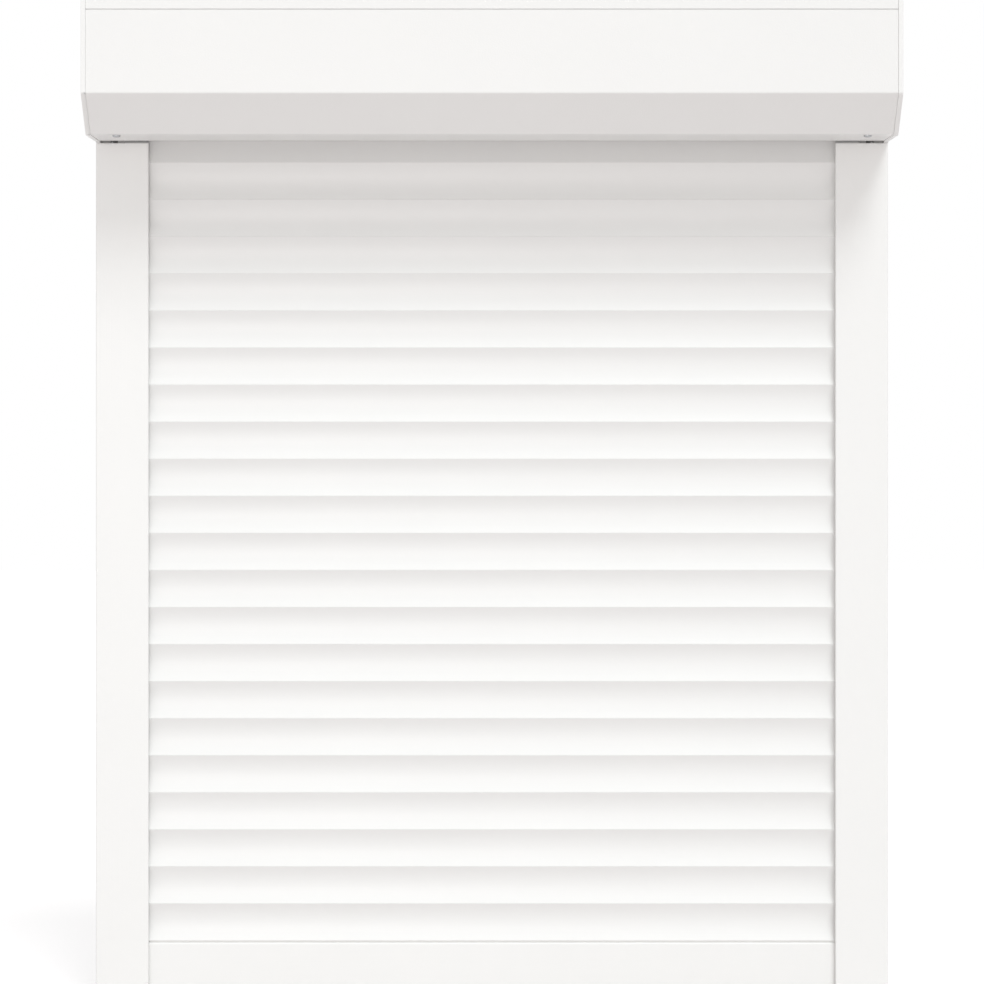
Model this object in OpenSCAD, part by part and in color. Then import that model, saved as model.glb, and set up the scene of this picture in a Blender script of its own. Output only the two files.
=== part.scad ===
// Exterior roller shutter: a head box with a cut lower corner, two guide rails, and a curtain of
// hollow interlocking slats that winds on an octagonal tube with a motor inside it.
// Millimetres. X runs along the width, the wall is the plane Y = 0, outside is -Y and Z is up.
// The origin is the middle of the box's rear face, on the wall.
// Profiles are drawn as [depth from the wall, height above the box's underside].

/* [Overall] */
// Width across the box and across both rails
shutter_w = 800; // [600:1:1400]
// Number of slats in the curtain
slat_count = 22; // [8:1:23]
// Distance from the box's underside to the first joint between slats
curtain_drop = 21; // [14:0.5:30]

/* [Head box] */
// Height of the box
box_h = 137; // [130:1:180]
// Depth of the box from the wall
box_d = 137; // [130:1:180]
// Height and depth of the cut lower front corner
box_chamfer = 37; // [20:1:45]
// Outer radius of the sheets' bends
bend_r = 3; // [2.2:0.1:5]
// Thickness of the folded sheets
sheet_t = 1.4; // [1:0.1:2]
// Height of the upper shell's lip on the front
lip_h = 18; // [12:1:30]
// Height of the cover's tongue behind that lip
tongue_h = 9; // [5:0.5:10]
// Height of the upturned hem at the cover's rear edge
hem_h = 8; // [4:0.5:12]
// Width of the inturned flange at the foot of the rear wall
foot_flange = 4; // [3:0.5:4.5]
// Gap between the rails' front and the cover's rear edge
entry_gap = 4; // [3:0.5:8]
// Gap of the seam under the upper shell's lip
lip_gap = 0.8; // [0.4:0.1:1.2]
// Gap between the sheets' ends and the end caps
seam_gap = 0.15; // [0.1:0.05:0.8]

/* [End caps] */
// Thickness of an end cap's plate
cap_t = 4.5; // [4:0.5:8]
// How far an end cap's rim stands out beyond the sheets
cap_proud = 1; // [0.5:0.1:1.5]
// Skin left outside the blind holes of an end cap
cap_skin = 1; // [0.6:0.1:2]
// Depth of the collar that carries the sheets
collar_l = 12; // [10:1:15]
// Thickness of that collar
collar_t = 2; // [1.5:0.1:3]
// Length of the spigot inside the rail
spigot_l = 42; // [20:1:60]
// Height of the spigot's root inside the box
spigot_root = 20; // [10:1:25]
// Depth of the spigot's waist, set back from the gap above the rail
waist_d = 8; // [6:0.5:10]
// Length of the lug that the cover is screwed to
lug_l = 34; // [30:1:50]
// Width of the lug
lug_w = 14; // [12:1:16]
// Thickness of the lug
lug_t = 3; // [2:0.5:5]
// Distance of the cover screw behind the cut corner's lower edge
lug_inset = 10; // [10:1:25]
// Height of the screw boss on the lug
boss_h = 7; // [4:0.5:12]
// Diameter of the screw boss
boss_d = 9; // [7:0.5:12]

/* [Guide rails] */
// Width of a rail
rail_w = 53; // [48:1:75]
// Depth of a rail
rail_d = 22; // [22:0.5:28]
// Wall of a rail
rail_wall = 2; // [1.5:0.1:2.5]
// Corner radius of a rail
rail_r = 1.2; // [0.5:0.1:1.5]
// Width of the closed chamber on the rail's outer side
chamber_w = 12; // [9:0.5:16]
// Thickness of the lips at the slot's mouth
lip_t = 5; // [4.5:0.1:5.2]
// Width of those lips
lip_w = 10; // [8:0.5:14]
// Gap between the box's underside and the rail's top
rail_gap = 2.2; // [2:0.1:5]
// Distance of the fixing holes from the rail's ends
fixing_inset = 120; // [80:1:150]
// Diameter of a fixing hole in the outer wall
fixing_d = 6; // [4:0.1:7]
// Diameter of the hole that lets the driver reach it
access_d = 13; // [10:0.5:14]
// Thickness of the foot plug's plate
foot_t = 2; // [1.5:0.1:4]
// Height of the foot plug inside the chamber
foot_leg = 14; // [8:1:25]

/* [Rail seals and funnels] */
// Width of a seal's anchor
anchor_w = 4; // [3:0.1:5]
// Thickness of a seal's anchor
anchor_t = 1.6; // [1.2:0.1:2]
// Width of a seal's stem
stem_w = 1.8; // [1.2:0.1:2.4]
// Wall left under a seal's groove
groove_wall = 1.4; // [1:0.1:1.6]
// How far the front seal stands out of its lip
seal_reach = 1.4; // [1.2:0.1:2.4]
// Gap between a seal and the slats
seal_gap = 0.4; // [0.3:0.1:0.8]
// Width of the funnel's front wall
funnel_w = 24; // [18:1:30]
// Thickness of the funnel's walls
funnel_t = 1.5; // [1:0.1:1.8]
// Height of the funnel above the box's underside
funnel_h = 16; // [10:1:24]
// Forward slope of the funnel's front wall
funnel_flare = 4; // [1:0.5:4]
// Length of the funnel's legs in the rail
funnel_leg = 25; // [12:1:40]

/* [Slats] */
// Distance from one slat joint to the next
slat_pitch = 37.5; // [34:0.5:42]
// Thickness of a slat between its faces
slat_t = 5.4; // [5.2:0.1:6]
// Wall of the hollow profile
slat_wall = 0.9; // [0.7:0.1:1.1]
// Radius of the hollow outer face
face_r = 50; // [48:1:90]
// Radius of the edge at each ridge
ridge_r = 0.2; // [0.2:0.1:1]
// Gap between two closed slats
joint_gap = 0.05; // [0.05:0.05:0.5]
// Height of the hook's head above a slat's top edge
hook_rise = 3.2; // [2.8:0.1:3.6]
// Radius of the hook's head
head_r = 1.3; // [1.2:0.05:1.35]
// Thickness of the hook's neck
neck_t = 1; // [0.8:0.1:1.1]
// Gap on each side of the neck in its mouth
neck_gap = 0.4; // [0.3:0.05:0.4]
// Thickness of the lips that hold the hook
pocket_lip = 1; // [0.8:0.1:1.2]
// Height of the pocket that takes the hook
pocket_h = 9.5; // [8:0.5:12]
// Distance from a slat's end to the floor of the rail's slot
slat_end_gap = 5; // [4:0.5:8]

/* [Bottom bar] */
// Height of the bottom bar
bar_h = 50; // [36:1:70]
// Thickness of the bottom bar
bar_t = 8.6; // [8:0.1:9.2]
// Corner radius of the bottom bar
bar_r = 1.5; // [0.5:0.1:2]
// Gap between the last slat and the bottom bar's front
bar_seam = 2.3; // [1:0.1:4]
// Width of the land under the bottom bar's hook
bar_land = 4.4; // [3:0.1:6]
// Wall of the bottom bar
bar_wall = 1.4; // [1:0.1:1.6]
// Outer radius of the bottom seal's bulb
bulb_r = 4; // [3:0.1:4.3]
// Wall of the bulb
bulb_wall = 1.2; // [0.8:0.1:1.6]
// Width of the bottom seal's anchor
bar_anchor_w = 4.8; // [4:0.1:5]
// Thickness of the bottom seal's anchor
bar_anchor_t = 2; // [1.5:0.1:3]
// Width of the bottom seal's stem
bar_stem_w = 2.2; // [1.5:0.1:2.6]
// Thickness of the bar's end plugs
plug_t = 3; // [2:0.5:4]
// Length of the plugs' pegs
plug_leg = 12; // [8:1:25]

/* [Winding tube] */
// Width of the octagonal tube across its flats
tube_flats = 40; // [38:0.5:44]
// Wall of the tube
tube_wall = 1; // [0.8:0.1:1.2]
// Distance of the tube's axis from the wall
tube_u = 70; // [66:0.5:76]
// Height of the tube's axis above the box's underside
tube_v = 72; // [68:0.5:78]
// Width of a suspension strap
strap_w = 24; // [15:1:40]
// Thickness of a suspension strap
strap_t = 0.8; // [0.5:0.1:1]
// Distance between the straps
strap_step = 230; // [120:5:250]
// Inner bend radius of a strap
strap_r = 8; // [5:0.5:10]

/* [Drive and bearing] */
// Diameter of the motor's body
motor_d = 35; // [30:0.5:35.5]
// Length of the motor's body behind its head
motor_l = 380; // [300:5:420]
// Diameter of the motor's neck under the crown
neck_d = 33; // [26:0.5:34]
// Diameter of the motor's head
head_d = 44; // [42:0.5:50]
// Length of the motor's head
head_l = 18; // [12:1:30]
// Length of the crown
crown_l = 11; // [8:1:20]
// Length of the square stub on the head
stub_l = 8; // [6:0.5:12]
// Width of the square stub
stub_w = 14; // [10:0.5:20]
// Diameter of the output shaft's journal
journal_d = 9; // [7:0.1:12]
// Length of the journal inside the motor
journal_l = 10; // [6:1:20]
// Width of the shaft's hexagon across its corners
hex_d = 11; // [9:0.1:14]
// Length of the drive wheel
wheel_l = 18; // [10:1:30]
// Length of the idle plug in the tube
idle_l = 50; // [30:1:80]
// Thickness of the idle plug's flange
flange_t = 2; // [1.5:0.1:3]
// Diameter of the idle pin and of the bearing's bore
pin_d = 12; // [10:0.1:13]
// Outer diameter of the ball bearing
bearing_d = 28; // [27:0.1:32]
// Width of the ball bearing
bearing_w = 9; // [7:0.5:12]
// Diameter of a ball
ball_d = 4.4; // [3.6:0.1:4.6]
// Number of balls
ball_count = 8; // [6:1:8]
// Width of the bracket plates on the end caps
bracket_w = 62; // [58:1:70]
// Thickness of the bracket plates
bracket_t = 3; // [2.5:0.1:4]
// Wall of the bracket's socket and of the bearing's seat
seat_wall = 4; // [3:0.5:5]
// Running gap between turning and fixed parts along the axis
axial_gap = 2; // [1:0.5:4]
// Diameter of the cable grommet in the end cap
grommet_d = 12; // [8:0.5:16]

/* [Fasteners] */
// Diameter of a screw
screw_d = 3.5; // [3:0.1:4]
// Diameter of a screw head
screw_head_d = 8; // [6:0.1:8.5]
// Height of a screw head
screw_head_h = 2; // [1.8:0.1:3.5]
// Distance of the cover screws from the box's ends
cover_screw_inset = 29; // [26:1:34]
// Diameter of a rivet
rivet_d = 3.2; // [2.4:0.1:4]
// Distance of the rivets from the box's rear and front
rivet_inset = 30; // [20:1:45]

/* [Fits] */
// Clearance between pieces that are pushed together
slip = 0.3; // [0.2:0.05:0.4]
// Radial clearance of shafts and bearings
run = 0.05; // [0.02:0.01:0.1]

/* [Hidden] */
$fn = 64;
// Cuts reach this far past the faces that they open
past = 1;

// Box
half_w = shutter_w / 2;
box_z = -box_h / 2;
cap_in = half_w - cap_t;
sheet_l = 2 * (cap_in - seam_gap);
seam_v = box_h - lip_h;
entry_u = rail_d + entry_gap;
collar_in = sheet_t + slip;
lug_u = box_d - box_chamfer - lug_inset;
screw_x = half_w - cover_screw_inset;
rivet_x = cap_in - collar_l / 2;
rivet_us = [rivet_inset, box_d - rivet_inset];
hole_d = screw_d + 2 * slip;
pilot_d = screw_d + 2 * run;

// Rails, with the local x counted from the slot's mouth
rail_x = half_w - rail_w;
chamber_x = rail_w - rail_wall - chamber_w;
slot_x = chamber_x - rail_wall;
groove_x = lip_w / 2;
rail_top = -rail_gap;
waist_u = foot_flange + slip;

// Slats: one circle centre for the outer and the inner face
slat_h = slat_pitch - joint_gap;
slat_l = 2 * (rail_x + slot_x - slat_end_gap);
ridge_u = rail_d - lip_t - seal_reach - seal_gap;
face_u = ridge_u + sqrt(pow(face_r, 2) - pow(slat_h / 2, 2));
back_r = face_r + slat_t;
slat_back_u = face_u - back_r;
rear_reach = slat_back_u - seal_gap - lip_t;
mouth_w = neck_t + 2 * neck_gap;
chamber_v = (pocket_h + slat_h) / 2;
hook_u = (arc_u(face_r + slat_wall, hook_rise) + arc_u(back_r - slat_wall, hook_rise)) / 2;

// Bottom bar and sill, counted down from the box's underside
curtain_foot = -curtain_drop - (slat_count - 1) * slat_pitch;
bar_top = curtain_foot - bar_seam;
bar_foot = bar_top - bar_h;
bar_back_u = ridge_u - bar_t;
bar_mid_u = ridge_u - bar_t / 2;
bar_groove_h = bar_wall + bar_anchor_t + 2 * slip;
bar_mid_v = (bar_top + bar_foot + bar_groove_h) / 2;
bar_l = slat_l - 2 * plug_t;
bulb_v = bar_foot - slip - bulb_r;
sill_v = bulb_v - bulb_r;
rail_foot = sill_v + foot_t;

// Tube, drive and bearing along the axis
tube_in = tube_flats - 2 * tube_wall;
plug_flats = tube_in - 2 * run;
bracket_x = cap_in - bracket_t;
socket_x = bracket_x - stub_l;
head_x = socket_x - slip;
neck_x = head_x - head_l;
crown_x = neck_x - axial_gap;
tube_right = crown_x;
motor_x = neck_x - motor_l;
journal_x = motor_x + journal_l;
wheel_x = motor_x - axial_gap;
bearing_x = -bracket_x;
seat_x = bearing_x + bearing_w;
tube_left = seat_x + axial_gap + flange_t;
ring_r = (pin_d + bearing_d) / 4;
race_r = ball_d / 2 + run;
cage_t = ball_d / 4;
rim_gap = ball_d / 4;
bracket_screw = bracket_w / 2 - screw_head_d;
bite = cap_t - cap_skin;
grommet_u = bracket_w / 2;
grommet_v = seam_v - grommet_d / 2;
strap_u = tube_u - tube_flats / 2 - strap_t / 2;
strap_tab_v = tube_v + tube_flats / 5;
strap_bend_v = tube_v - tube_flats / 3;
clip_v = slat_h - curtain_drop + hook_rise;
clip_r = head_r + slip + strap_t;

slat_names = [for (i = [1:slat_count]) str("slat_", i < 10 ? "0" : "", i)];

// Depth of an arc of the slat's circles at a height above the slat's bottom edge
function arc_u(r, v) = face_u - sqrt(pow(r, 2) - pow(v - slat_h / 2, 2));

function unit(v) = v / norm(v);

// Outline of the box, moved inwards by a distance
function box_outline(inset) =
    let (shift = inset * (sqrt(2) - 1))
    [
        [inset, inset],
        [inset, box_h - inset],
        [box_d - inset, box_h - inset],
        [box_d - inset, box_chamfer + shift],
        [box_d - box_chamfer - shift, inset]
    ];

// What a rounded corner takes away between its two neighbours
module corner_waste(before, corner, after, r) {
    d = unit(before - corner);
    e = unit(after - corner);
    half = acos(d * e) / 2;
    middle = unit(d + e);
    centre = corner + middle * r / sin(half);
    reach = r / tan(half);
    difference() {
        polygon([corner - middle * r, corner + d * reach, centre, corner + e * reach]);
        translate(centre) circle(r);
    }
}

// A convex polygon with every corner rounded
module rounded(points, r) {
    n = len(points);
    difference() {
        polygon(points);
        if (r > 0)
            for (i = [0:n - 1])
                corner_waste(points[(i + n - 1) % n], points[i], points[(i + 1) % n], r);
    }
}

module rounded_box(low, size, r) {
    rounded([low, low + [size.x, 0], low + size, low + [0, size.y]], r);
}

// The area inside the box's outline, moved inwards by a distance
module box_area(inset) {
    rounded(box_outline(inset), max(bend_r - inset, 0));
}

// A strip of sheet along a path, with a bend at each inner point
module bent_strip(path, r, t) {
    n = len(path);
    turn = [for (i = [0:n - 1]) i == 0 || i == n - 1 ? 0 : turn_angle(path, i)];
    trim = [for (a = turn) r * tan(abs(a) / 2)];
    for (i = [0:n - 2]) {
        d = unit(path[i + 1] - path[i]);
        side = [-d.y, d.x] * t / 2;
        a = path[i] + d * trim[i];
        b = path[i + 1] - d * trim[i + 1];
        polygon([a + side, b + side, b - side, a - side]);
    }
    for (i = [1:n - 2])
        strip_bend(path[i - 1], path[i], path[i + 1], sign(turn[i]), trim[i], r, t);
}

function turn_angle(path, i) =
    let (d = unit(path[i] - path[i - 1]), e = unit(path[i + 1] - path[i]))
    atan2(d.x * e.y - d.y * e.x, d * e);

module strip_bend(before, corner, after, way, trim, r, t) {
    d = unit(corner - before);
    e = unit(after - corner);
    start = corner - d * trim;
    finish = corner + e * trim;
    centre = start + way * r * [-d.y, d.x];
    grow = (r + t) / r;
    intersection() {
        translate(centre) difference() {
            circle(r + t / 2);
            circle(r - t / 2);
        }
        polygon([for (p = [[0, 0], start - centre, corner - centre, finish - centre]) centre + p * grow]);
    }
}

// Runs a profile of depth and height along X
module span(x0, x1) {
    translate([(x0 + x1) / 2, 0, box_z])
        rotate([90, 0, 90]) linear_extrude(x1 - x0, center = true) mirror([1, 0]) children();
}

// Runs a profile of rail width and depth upwards, on the right-hand rail
module upright(v0, v1) {
    translate([rail_x, 0, box_z + v0]) linear_extrude(v1 - v0) mirror([0, 1]) children();
}

module left_hand() {
    mirror([1, 0, 0]) children();
}

// A round bar along X
module bar_x(x0, x1, u, v, d) {
    translate([x0, -u, box_z + v]) rotate([0, 90, 0]) cylinder(h = x1 - x0, d = d);
}

module on_axis() {
    translate([0, -tube_u, box_z + tube_v]) rotate([0, 90, 0]) children();
}

module axle(x0, x1, d) {
    bar_x(x0, x1, tube_u, tube_v, d);
}

module octagon(flats) {
    translate([tube_u, tube_v]) rotate(180 / 8) circle(d = flats / cos(180 / 8), $fn = 8);
}

// A pan-head screw, head at the origin and shank along +Z
module screw(shank_l) {
    bevel = screw_head_h / 3;
    head = screw_head_d / 2;
    shank = screw_d / 2;
    rotate_extrude()
        polygon([
            [0, -screw_head_h],
            [head - bevel, -screw_head_h],
            [head, bevel - screw_head_h],
            [head, 0],
            [shank, 0],
            [shank, shank_l],
            [0, shank_l]
        ]);
}

// Places that hold the four screws of a bracket plate, on the right-hand end cap
module bracket_places(x) {
    for (a = [-1, 1], b = [-1, 1])
        translate([x, -tube_u + a * bracket_screw, box_z + tube_v + b * bracket_screw])
            rotate([0, 90, 0]) children();
}

// Upper shell of the box: rear wall with foot flange, top and front lip
module rear_shell() {
    color("white") difference() {
        span(-sheet_l / 2, sheet_l / 2) difference() {
            box_area(0);
            box_area(sheet_t);
            translate([foot_flange, -past]) square([box_d, seam_v + past]);
        }
        for (x = [-rivet_x, rivet_x], u = rivet_us)
            translate([x, -u, box_z + box_h - bend_r]) cylinder(h = bend_r + past, d = rivet_d + 2 * slip);
    }
}

// Removable cover: front, cut corner and underside, with a tongue behind the lip and a rear hem
module front_cover() {
    top_v = seam_v - lip_gap;
    tongue_u = box_d - 2 * sheet_t - slip;
    color("white") difference() {
        union() {
            span(-sheet_l / 2, sheet_l / 2) difference() {
                box_area(0);
                box_area(sheet_t);
                translate([-past, -past]) square([entry_u + past, box_h + 2 * past]);
                translate([-past, top_v]) square([box_d + 2 * past, box_h]);
            }
            span(-sheet_l / 2, sheet_l / 2) translate([entry_u, 0]) square([sheet_t, hem_h]);
            span(-sheet_l / 2, sheet_l / 2)
                translate([tongue_u, top_v - sheet_t]) square([box_d - tongue_u, sheet_t]);
            span(-sheet_l / 2, sheet_l / 2)
                translate([tongue_u, top_v - sheet_t]) square([sheet_t, tongue_h + sheet_t]);
        }
        for (x = [-screw_x, screw_x])
            translate([x, -lug_u, box_z - past]) cylinder(h = sheet_t + 2 * past, d = hole_d);
    }
}

// Plate with a skirt down to the rail, collar, screw lug and rail spigot of an end cap
module end_cap_body() {
    difference() {
        union() {
            span(cap_in, half_w) cap_plate();
            span(cap_in, half_w)
                translate([0, rail_top + slip]) square([rail_d, bend_r - rail_top - slip]);
            span(cap_in - collar_l, cap_in) cap_collar();
            span(cap_in - lug_l, cap_in)
                translate([lug_u - lug_w / 2, sheet_t]) square([lug_w, lug_t]);
            translate([screw_x, -lug_u, box_z + sheet_t]) cylinder(h = lug_t + boss_h, d = boss_d);
            spigot();
        }
        translate([screw_x, -lug_u, box_z]) cylinder(h = sheet_t + lug_t + boss_h + past, d = pilot_d);
        bracket_places(cap_in) cylinder(h = 2 * bite, d = pilot_d, center = true);
        for (u = rivet_us)
            translate([rivet_x, -u, box_z + box_h - bend_r - collar_t])
                cylinder(h = bend_r + collar_t - sheet_t, d = rivet_d + 2 * slip);
    }
}

// Plate with a rim beyond the sheets, flush with the wall
module cap_plate() {
    intersection() {
        box_area(-cap_proud);
        translate([0, -cap_proud]) square([box_d + cap_proud, box_h + 2 * cap_proud]);
    }
}

// Collar inside the sheets, open where the curtain enters and where the tongue lies
module cap_collar() {
    notch_v = seam_v - lip_gap - sheet_t - slip;
    difference() {
        box_area(collar_in);
        box_area(collar_in + collar_t);
        translate([-past, -past]) square([entry_u + sheet_t + slip + past, spigot_root + past]);
        translate([box_d / 2, notch_v]) square([box_d, tongue_h + sheet_t + 2 * slip]);
    }
}

// Spigot that fills the rail's chamber, with a narrower waist in the gap above the rail
module spigot() {
    front_u = rail_d - rail_wall - slip;
    foot_v = rail_top - spigot_l;
    width = chamber_w - 2 * slip;
    translate([rail_x + chamber_x + slip, 0, box_z + foot_v]) {
        translate([0, -front_u, 0]) cube([width, front_u - waist_u, spigot_l - slip]);
        translate([0, -waist_u - waist_d, 0]) cube([width, waist_d, spigot_root - foot_v]);
    }
}

module end_cap_left() {
    color("white") left_hand() end_cap_body();
}

module end_cap_right() {
    color("white") difference() {
        end_cap_body();
        bar_x(cap_in - past, half_w + past, grommet_u, grommet_v, grommet_d);
    }
}

// Blind rivets that hold the upper shell on the end caps' collars
module shell_rivets() {
    dome_h = rivet_d / 3;
    color("gainsboro")
        for (x = [-rivet_x, rivet_x], u = rivet_us)
            translate([x, -u, box_z + box_h]) {
                translate([0, 0, -sheet_t - slip - collar_t - dome_h])
                    cylinder(h = sheet_t + slip + collar_t + dome_h, d = rivet_d);
                cylinder(h = dome_h, d1 = 2 * rivet_d, d2 = rivet_d);
            }
}

// Screws that hold the cover from below
module cover_screws() {
    color("silver")
        for (x = [-screw_x, screw_x])
            translate([x, -lug_u, box_z]) screw(sheet_t + lug_t + boss_h);
}

// Rail with a slot for the curtain, two seal grooves and a closed chamber
module rail_profile() {
    difference() {
        rounded_box([0, 0], [rail_w, rail_d], rail_r);
        translate([chamber_x, rail_wall]) square([chamber_w, rail_d - 2 * rail_wall]);
        translate([lip_w, rail_wall]) square([slot_x - lip_w, rail_d - 2 * rail_wall]);
        translate([-past, lip_t]) square([lip_w + 2 * past, rail_d - 2 * lip_t]);
        seal_groove();
        translate([0, rail_d]) mirror([0, 1]) seal_groove();
    }
}

module seal_groove() {
    translate([groove_x - anchor_w / 2, groove_wall]) square([anchor_w, anchor_t + slip]);
    translate([groove_x - stem_w / 2 - slip, groove_wall]) square([stem_w + 2 * slip, lip_t]);
}

module guide_rail() {
    difference() {
        upright(rail_foot, rail_top) rail_profile();
        for (v = [rail_top - fixing_inset, rail_foot + fixing_inset]) {
            bar_x(half_w - rail_wall - past, half_w + past, rail_d / 2, v, fixing_d);
            bar_x(rail_x + slot_x - past, rail_x + chamber_x + past, rail_d / 2, v, access_d);
        }
    }
}

module guide_rail_left() {
    color("white") left_hand() guide_rail();
}

module guide_rail_right() {
    color("white") guide_rail();
}

// Anchored stem with a round tip that stands out of the lip
module seal_profile(reach) {
    tip_r = stem_w / 2;
    play = slip / 2;
    translate([groove_x - anchor_w / 2 + play, groove_wall + play])
        square([anchor_w - 2 * play, anchor_t]);
    translate([groove_x - tip_r, groove_wall + play])
        square([stem_w, lip_t + reach - tip_r - groove_wall - play]);
    translate([groove_x, lip_t + reach - tip_r]) circle(tip_r);
}

module front_seal() {
    upright(rail_foot, rail_top) translate([0, rail_d]) mirror([0, 1]) seal_profile(seal_reach);
}

module rear_seal() {
    upright(rail_foot, rail_top) seal_profile(rear_reach);
}

module rail_seal_left_front() {
    color("dimgray") left_hand() front_seal();
}

module rail_seal_left_rear() {
    color("dimgray") left_hand() rear_seal();
}

module rail_seal_right_front() {
    color("dimgray") front_seal();
}

module rail_seal_right_rear() {
    color("dimgray") rear_seal();
}

// Funnel on the rail's top: rims in the gap, legs in the slot and flared walls in the box
module entry_funnel() {
    guide_u = rail_d - lip_t;
    slot_u = rail_d - rail_wall - slip;
    mouth_x = rail_x + slip;
    front_x = mouth_x + funnel_w;
    floor_x = rail_x + slot_x - slip;
    leg_x = rail_x + lip_w + slip;
    leg_v = rail_top - funnel_leg;
    rim_h = rail_gap - slip;
    foot_v = -2 * slip;
    span(mouth_x, front_x) {
        translate([guide_u, rail_top]) square([lip_t - slip, rim_h]);
        polygon([
            [guide_u, foot_v],
            [guide_u + funnel_t, foot_v],
            [guide_u + funnel_t + funnel_flare, funnel_h],
            [guide_u + funnel_flare, funnel_h]
        ]);
    }
    span(mouth_x, floor_x) {
        translate([slip, rail_top]) square([lip_t - slip, rim_h]);
        translate([waist_u, foot_v]) square([lip_t - waist_u, funnel_h - foot_v]);
    }
    span(mouth_x, cap_in - slip) translate([slip, rail_top]) square([foot_flange - slip, rim_h]);
    span(leg_x, front_x) translate([slot_u - funnel_t, leg_v]) square([funnel_t, funnel_leg + slip]);
    span(leg_x, floor_x) translate([slot_u - funnel_t, leg_v]) square([funnel_t, funnel_leg - slip]);
    span(leg_x, floor_x) translate([rail_wall + slip, leg_v]) square([funnel_t, funnel_leg + slip]);
    span(floor_x - funnel_t, floor_x) {
        translate([rail_wall + slip, leg_v]) square([slot_u - rail_wall - slip, funnel_leg - slip]);
        translate([waist_u, leg_v]) square([waist_d, funnel_h - leg_v]);
    }
}

module entry_funnel_left() {
    color("gray") left_hand() entry_funnel();
}

module entry_funnel_right() {
    color("gray") entry_funnel();
}

// Plug that closes the chamber at the rail's foot
module foot_plug() {
    upright(sill_v, rail_foot)
        translate([slot_x, slip]) square([rail_w - slot_x - slip, rail_d - 2 * slip]);
    upright(rail_foot - slip, rail_foot + foot_leg)
        translate([chamber_x + slip, rail_wall + slip])
            square([chamber_w - 2 * slip, rail_d - 2 * rail_wall - 2 * slip]);
}

module rail_foot_left() {
    color("gray") left_hand() foot_plug();
}

module rail_foot_right() {
    color("gray") foot_plug();
}

// Closed rubber grommet for the motor's cable, flush with the end cap
module cable_grommet() {
    rim = grommet_d / 6;
    skin = cap_t / 2;
    color("dimgray") difference() {
        union() {
            bar_x(cap_in, half_w, grommet_u, grommet_v, grommet_d - 2 * run);
            bar_x(cap_in - rim, cap_in, grommet_u, grommet_v, grommet_d + 2 * rim);
        }
        bar_x(cap_in - rim - past, half_w - skin, grommet_u, grommet_v, grommet_d / 2);
    }
}

// Plate on the right-hand end cap with a square socket for the motor's head
module motor_bracket() {
    color("silver") difference() {
        union() {
            bracket_plate();
            span(socket_x, bracket_x) square_on_axis(stub_w + 2 * slip + 2 * seat_wall);
        }
        span(socket_x - past, bracket_x) square_on_axis(stub_w + 2 * slip);
        bracket_places(bracket_x - past) cylinder(h = bracket_t + 2 * past, d = hole_d);
    }
}

module bracket_plate() {
    span(bracket_x, cap_in)
        rounded_box([tube_u, tube_v] - [1, 1] * bracket_w / 2, [bracket_w, bracket_w], bend_r);
}

module square_on_axis(w) {
    translate([tube_u, tube_v]) square(w, center = true);
}

module bracket_screws() {
    color("silver") bracket_places(bracket_x) screw(bracket_t + bite - slip);
}

// Head of the motor, with the stub that stops it from turning
module motor_head() {
    color("dimgray") {
        axle(neck_x, head_x, head_d);
        span(head_x - slip, bracket_x - slip) square_on_axis(stub_w);
    }
}

// Motor tube with the neck that the crown runs on and the bearing of the output shaft
module motor_body() {
    neck_end = crown_x - crown_l - axial_gap;
    color("lightgray") difference() {
        union() {
            axle(motor_x, neck_end, motor_d);
            axle(neck_end - slip, neck_x, neck_d);
        }
        axle(motor_x - past, journal_x + axial_gap, journal_d + 2 * run);
    }
}

// Plate on the left-hand end cap with the seat of the ball bearing
module bearing_holder() {
    color("silver") difference() {
        left_hand() {
            bracket_plate();
            axle(bracket_x - bearing_w, bracket_x, bearing_d + 2 * run + 2 * seat_wall);
        }
        axle(bearing_x, seat_x + past, bearing_d + 2 * run);
        axle(-cap_in - past, bearing_x + past, bearing_d - seat_wall);
        left_hand() bracket_places(bracket_x - past) cylinder(h = bracket_t + 2 * past, d = hole_d);
    }
}

module holder_screws() {
    color("silver") left_hand() bracket_places(bracket_x) screw(bracket_t + bite - slip);
}

// Turns a ring profile of radius and width about the tube's axis, centred in the bearing
module bearing_turn() {
    translate([bearing_x + bearing_w / 2, 0, 0]) on_axis() rotate_extrude() children();
}

module bearing_ring(r0, r1) {
    bearing_turn() difference() {
        translate([r0, -bearing_w / 2]) square([r1 - r0, bearing_w]);
        translate([ring_r, 0]) circle(race_r);
    }
}

module bearing_outer_ring() {
    color("silver") bearing_ring(ring_r + rim_gap, bearing_d / 2);
}

module bearing_inner_ring() {
    color("silver") bearing_ring(pin_d / 2 + run, ring_r - rim_gap);
}

module ball_places() {
    translate([bearing_x + bearing_w / 2, 0, 0]) on_axis()
        for (i = [0:ball_count - 1]) rotate(i * 360 / ball_count) children();
}

// Ring with a round pocket for each ball
module bearing_cage() {
    color("goldenrod") difference() {
        bearing_turn() translate([ring_r - cage_t / 2, -ball_d * 3 / 4]) square([cage_t, ball_d * 3 / 2]);
        ball_places() rotate([0, 90, 0]) cylinder(h = 2 * ring_r, r = ball_d / 2 + 2 * run);
    }
}

module bearing_balls() {
    color("silver") ball_places() translate([ring_r, 0, 0]) sphere(d = ball_d);
}

// Octagonal tube with a slot for each strap's tab
module winding_tube() {
    slot_h = 3 * strap_t;
    color("silver") difference() {
        span(tube_left, tube_right) difference() {
            octagon(tube_flats);
            octagon(tube_in);
        }
        for (i = [-1:1])
            translate([i * strap_step - strap_w / 2 - slip, -tube_u, box_z + strap_tab_v - slot_h / 2])
                cube([strap_w + 2 * slip, tube_flats, slot_h]);
    }
}

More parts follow.
